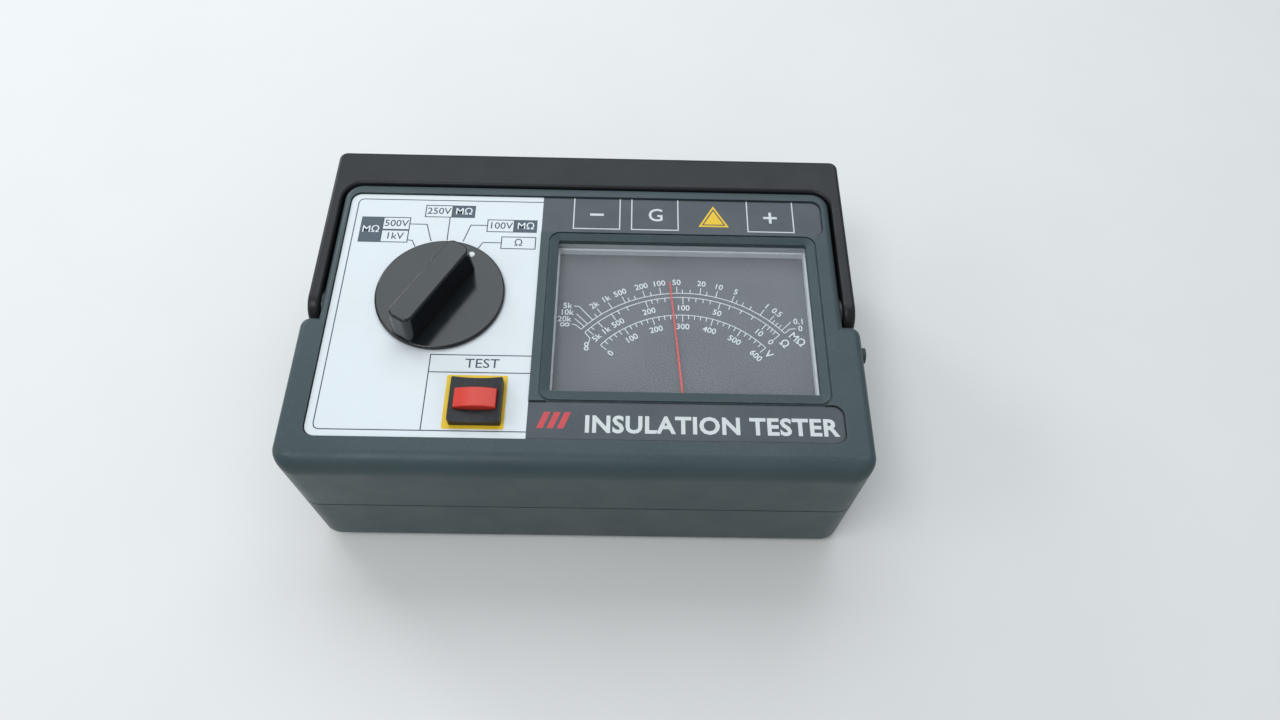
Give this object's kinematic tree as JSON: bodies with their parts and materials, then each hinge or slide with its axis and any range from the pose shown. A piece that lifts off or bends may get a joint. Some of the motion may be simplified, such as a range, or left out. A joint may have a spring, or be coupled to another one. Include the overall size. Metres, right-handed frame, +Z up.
{
  "type": "insulation resistance tester",
  "caption": "Bench and field insulation tester: analogue scale, rotary range knob, press-to-test button, rear sockets and a fold-down carrying handle.",
  "frame": {"origin": "centre of the case's footprint, on the surface that the feet stand on", "axes": "+Z up, +X to the right of the panel, +Y towards the sockets at the back"},
  "size_m": [0.2224, 0.15, 0.0887],
  "materials": {
    "case_grey": "fine-grained moulded ABS, satin",
    "case_seal": "matt extruded rubber",
    "foot_rubber": "matt moulded rubber",
    "handle_black": "smooth black moulding with polished edges",
    "zinc_screw": "zinc plated",
    "pin_steel": "turned steel",
    "washer_black": "nylon washer",
    "stud_grey": "moulded plastic",
    "overlay_print": "printed polycarbonate film, fine satin texture",
    "knob_charcoal": "charcoal moulding, satin",
    "knob_white": "white paint filled dot",
    "surround_black": "black moulding, satin",
    "button_red": "red moulding, soft gloss",
    "spring_steel": "spring wire",
    "phenolic_brown": "moulded phenolic",
    "brass": "turned brass",
    "nickel_contact": "nickel plated",
    "gasket_foam": "closed cell foam",
    "clear_cover": "clear moulded acrylic",
    "meter_white": "light grey moulding",
    "dial_grey": "matt grey printed aluminium",
    "magnet_grey": "ground magnet alloy",
    "alloy": "die cast",
    "jewel": "polished jewel",
    "pointer_red": "thin fluorescent red paint",
    "copper": "enamelled copper wire",
    "lead_black": "PVC sleeved wire",
    "board_green": "glass epoxy with solder mask",
    "ferrite": "sintered ferrite",
    "can_blue": "shrink sleeve",
    "relay_orange": "moulded relay cap",
    "chip_black": "epoxy moulding",
    "trimmer_blue": "moulded trimmer body",
    "resistor_tan": "lacquered carbon film",
    "fuse_glass": "glass tube",
    "tray_black": "black moulding",
    "cell_sleeve": "plain printed sleeve",
    "plate_silver": "blank anodised foil"
  },
  "bodies": {
    "case": {"upper_case": "case_grey", "lower_case": "case_grey", "case_seal": "case_seal", "case_screws": "zinc_screw", "rubber_feet": "foot_rubber", "strap_stud": "stud_grey", "handle_pins": "pin_steel", "handle_washers": "washer_black", "panel_overlay": "overlay_print", "switch_body": "alloy", "switch_washer": "nickel_contact", "switch_nut": "nickel_contact", "button_surround": "surround_black", "button_spring": "spring_steel", "button_switch": "phenolic_brown", "window_gasket": "gasket_foam", "meter_cover": "clear_cover", "meter_housing": "meter_white", "meter_screws": "zinc_screw", "scale_plate": "dial_grey", "scale_pillars": "brass", "scale_screws": "zinc_screw", "pointer_stops": "nickel_contact", "ring_magnet": "magnet_grey", "magnet_seat": "alloy", "iron_core": "magnet_grey", "core_supports": "brass", "top_bridge": "brass", "jewel_bearings": "jewel", "terminal_plate": "surround_black", "socket_bushes": "surround_black", "socket_contacts": "nickel_contact", "socket_nuts": "nickel_contact", "socket_leads": "lead_black", "main_board": "board_green", "board_screws": "zinc_screw", "transformer_core": "ferrite", "transformer_winding": "copper", "capacitors": "can_blue", "relay": "relay_orange", "integrated_circuits": "chip_black", "trimmers": "trimmer_blue", "resistors": "resistor_tan", "fuse_and_clips": "fuse_glass", "battery_tray": "tray_black", "battery_cells": "cell_sleeve", "battery_contacts": "spring_steel", "battery_cover": "case_grey", "cover_screws": "zinc_screw", "rating_plate": "plate_silver"},
    "handle": {"carrying_handle": "handle_black"},
    "range_switch": {"range_knob": "knob_charcoal", "knob_dot": "knob_white", "knob_grub_screw": "zinc_screw", "switch_shaft": "pin_steel", "switch_rotor": "phenolic_brown"},
    "press_button": {"test_button": "button_red"},
    "meter_movement": {"meter_pointer": "pointer_red", "pointer_staff": "pin_steel", "moving_coil": "copper"}
  },
  "joints": [
    {"name": "handle_swing", "type": "hinge", "parent": "case", "child": "handle", "pos_m": [0, -0.0005, 0.06475], "axis": [1, 0, 0], "range_deg": [0, 96]},
    {"name": "range_turn", "type": "hinge", "parent": "case", "child": "range_switch", "pos_m": [-0.0568, 0.0003, 0.08], "axis": [0, 0, 1], "range_deg": [0, 60]},
    {"name": "button_press", "type": "slide", "parent": "case", "child": "press_button", "axis": [0, 0, -1], "range_m": [0, 0.0025], "stiffness_N_per_m": 400, "springref_m": -0.001, "deforming": ["button_spring"]},
    {"name": "pointer_sweep", "type": "hinge", "parent": "case", "child": "meter_movement", "pos_m": [0.04035, -0.0463, 0.06], "axis": [0, 0, 1], "range_deg": [-54, 44]}
  ]
}
